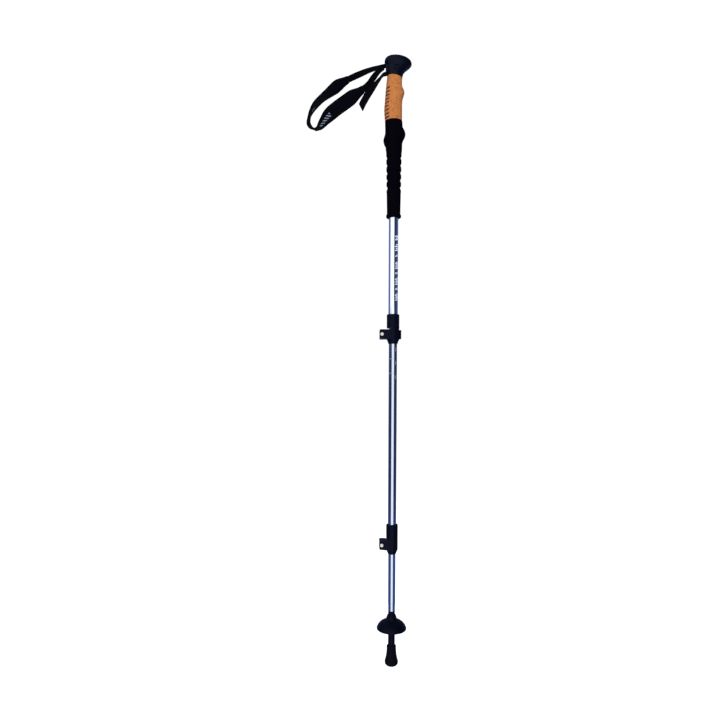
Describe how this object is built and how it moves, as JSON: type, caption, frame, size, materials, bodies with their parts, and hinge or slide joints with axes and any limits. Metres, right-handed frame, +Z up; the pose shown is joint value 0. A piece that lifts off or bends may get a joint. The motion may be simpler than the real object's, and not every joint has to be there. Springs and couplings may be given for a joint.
{
  "type": "trekking pole",
  "caption": "Telescoping trekking pole with a beaked cork and foam grip, a padded wrist strap, lever locks, a domed basket and a rubber foot.",
  "frame": {"origin": "centre of the rubber foot's flat underside, on the axis of the tubes", "axes": "+Z up the pole to the grip; +X towards the beak of the grip's head; the strap and the lock ears point to -X"},
  "size_m": [0.1991, 0.0566, 1.1565],
  "materials": {
    "cork": "natural cork, fine grain with dark specks",
    "foam": "closed-cell foam, matte",
    "head_plastic": "satin moulded plastic",
    "lock_plastic": "satin moulded plastic",
    "bush_plastic": "plain acetal",
    "basket_plastic": "satin moulded plastic",
    "upper_anodised": "bright anodised, pale blue silver",
    "lower_anodised": "bright anodised, blue grey",
    "steel": "plated",
    "carbide": "ground",
    "rubber": "moulded rubber",
    "webbing": "woven polyester webbing",
    "strap_padding": "knitted fabric over foam padding"
  },
  "bodies": {
    "upper_section": {"upper_tube": "upper_anodised", "foam_sleeve": "foam", "cork_grip": "cork", "grip_head": "head_plastic", "strap_pin": "steel", "strap_anchor_web": "webbing", "upper_lock_body": "lock_plastic", "upper_lock_barrel": "steel", "upper_lock_wear_plate": "steel"},
    "wedge": {"strap_wedge": "head_plastic"},
    "strap": {"strap_upper_web": "webbing", "strap_pad": "strap_padding", "strap_lower_web": "webbing", "strap_tail": "webbing"},
    "upper_lever": {"upper_lock_lever": "lock_plastic"},
    "upper_screw": {"upper_lock_screw": "steel"},
    "middle_section": {"middle_tube": "lower_anodised", "middle_tube_bush": "bush_plastic", "lower_lock_body": "lock_plastic", "lower_lock_barrel": "steel", "lower_lock_wear_plate": "steel"},
    "lower_lever": {"lower_lock_lever": "lock_plastic"},
    "lower_screw": {"lower_lock_screw": "steel"},
    "lower_section": {"lower_tube": "lower_anodised", "lower_tube_bush": "bush_plastic", "tip_ferrule": "lock_plastic", "tip_shank": "steel", "carbide_tip": "carbide"},
    "basket": {"basket": "basket_plastic"},
    "foot": {"rubber_foot": "rubber", "foot_washer": "steel"}
  },
  "joints": [
    {"name": "middle_slide", "type": "slide", "parent": "upper_section", "child": "middle_section", "axis": [0, 0, -1], "range_m": [-0.336, 0.017]},
    {"name": "lower_slide", "type": "slide", "parent": "middle_section", "child": "lower_section", "axis": [0, 0, -1], "range_m": [-0.104, 0.17]},
    {"name": "upper_lever_hinge", "type": "hinge", "parent": "upper_section", "child": "upper_lever", "pos_m": [-0.0212, 0.01115, 0.6288], "axis": [0, 0, 1], "range_deg": [0, 110]},
    {"name": "lower_lever_hinge", "type": "hinge", "parent": "middle_section", "child": "lower_lever", "pos_m": [-0.0198, 0.01115, 0.2301], "axis": [0, 0, 1], "range_deg": [0, 110]},
    {"name": "upper_screw_turn", "type": "hinge", "parent": "upper_section", "child": "upper_screw", "pos_m": [-0.0212, 0, 0.6288], "axis": [0, 1, 0], "continuous": true},
    {"name": "lower_screw_turn", "type": "hinge", "parent": "middle_section", "child": "lower_screw", "pos_m": [-0.0198, 0, 0.2301], "axis": [0, 1, 0], "continuous": true},
    {"name": "strap_swing", "type": "hinge", "parent": "upper_section", "child": "strap", "pos_m": [-0.018, 0, 1.136], "axis": [0, -1, 0], "range_deg": [-25, 18]},
    {"name": "wedge_slide", "type": "slide", "parent": "upper_section", "child": "wedge", "axis": [-1, 0, 0], "range_m": [0, 0.0025]},
    {"name": "basket_twist", "type": "hinge", "parent": "lower_section", "child": "basket", "pos_m": [0, 0, 0.0755], "axis": [0, 0, 1], "continuous": true},
    {"name": "foot_pull", "type": "slide", "parent": "lower_section", "child": "foot", "axis": [0, 0, -1], "range_m": [0, 0.042]}
  ]
}
